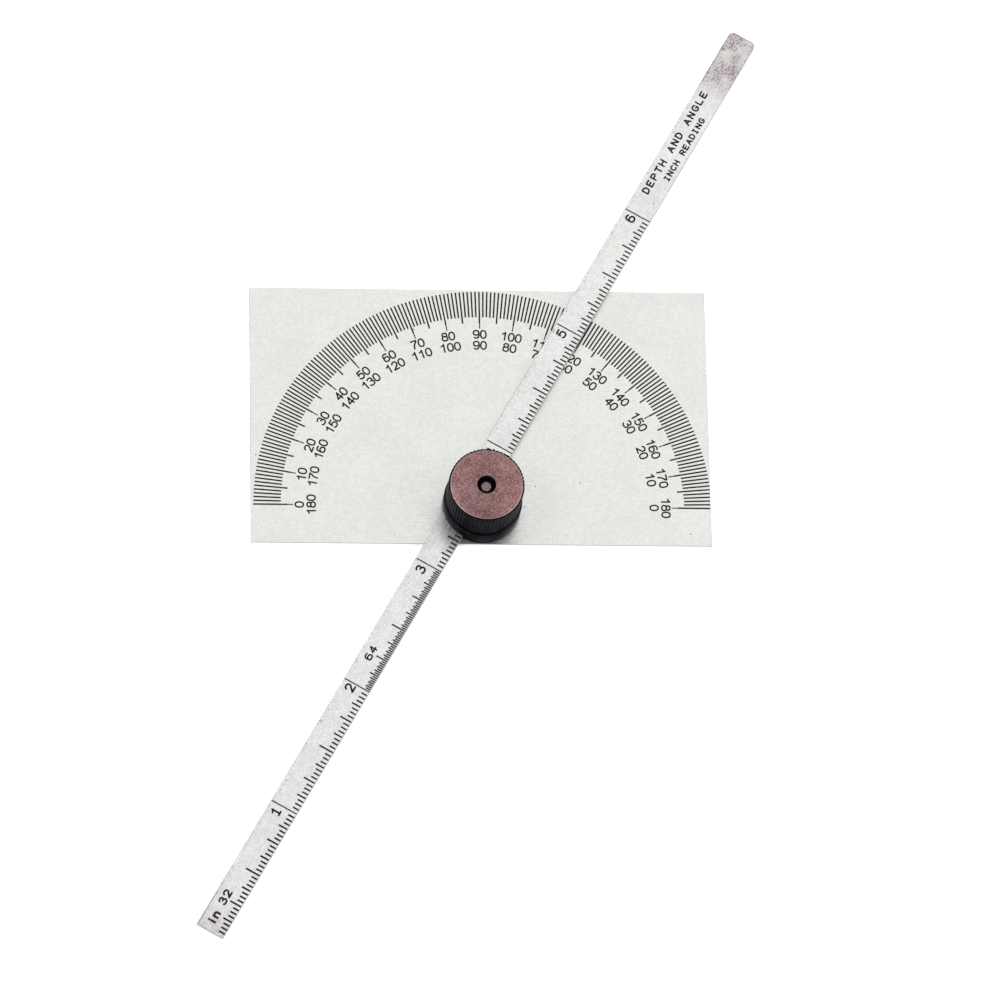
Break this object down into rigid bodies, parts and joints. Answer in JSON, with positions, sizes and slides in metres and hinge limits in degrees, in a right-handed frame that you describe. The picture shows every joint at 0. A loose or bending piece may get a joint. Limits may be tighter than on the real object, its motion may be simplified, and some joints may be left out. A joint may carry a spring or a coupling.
{
  "type": "protractor",
  "caption": "Flat steel protractor head with a narrow graduated blade that slides and swivels under a knurled lock nut and gauges depth past the head's straight edge.",
  "frame": {"origin": "on the pivot axis, at the flat back face of the head, where the stud's flange lies flush", "axes": "+X along the head's straight base edge towards the 180 degree mark of the outer row, +Y from the base edge to the 90 degree mark, +Z out of the graduated face towards the knurled nut"},
  "size_m": [0.1006, 0.1688, 0.0125],
  "materials": {
    "satin_stainless": "satin stainless sheet, fine grain along its length, etched black graduations",
    "blade_stainless": "satin stainless strip, a little darker and more worn than the head, etched black graduations",
    "turned_steel": "bright turned steel with a faint warm tarnish",
    "blackened_steel": "black oxide with a satin sheen",
    "spring_steel": "oiled spring steel",
    "browned_steel": "black oxide worn warm brown on its turned face, black on its knurled side",
    "etched_black": "matte black filled etching of the graduations and numerals"
  },
  "bodies": {
    "head": {"head_plate": "satin_stainless"},
    "turret": {"clamp_stud": "turned_steel", "guide_collar": "blackened_steel", "wave_washer": "spring_steel"},
    "blade": {"blade": "blade_stainless"},
    "nut_seat": {"thrust_washer": "spring_steel"},
    "nut": {"lock_nut": "browned_steel"}
  },
  "joints": [
    {"name": "turret_swivel", "type": "hinge", "parent": "head", "child": "turret", "pos_m": [0, 0, 0], "axis": [0, 0, 1], "continuous": true},
    {"name": "blade_slide", "type": "slide", "parent": "turret", "child": "blade", "axis": [0.5015, 0.8652, 0], "range_m": [-0.0948, 0.0837]},
    {"name": "nut_lift", "type": "slide", "parent": "turret", "child": "nut_seat", "axis": [0, 0, 1], "range_m": [0, 0.000751], "deforming": ["wave_washer"]},
    {"name": "nut_turn", "type": "hinge", "parent": "nut_seat", "child": "nut", "pos_m": [0, 0, 0], "axis": [0, 0, 1], "range_deg": [0, 540]}
  ],
  "couplings": [
    {"joint": "nut_lift", "follows": "nut_turn", "m_per_rad": 0.000079577}
  ]
}
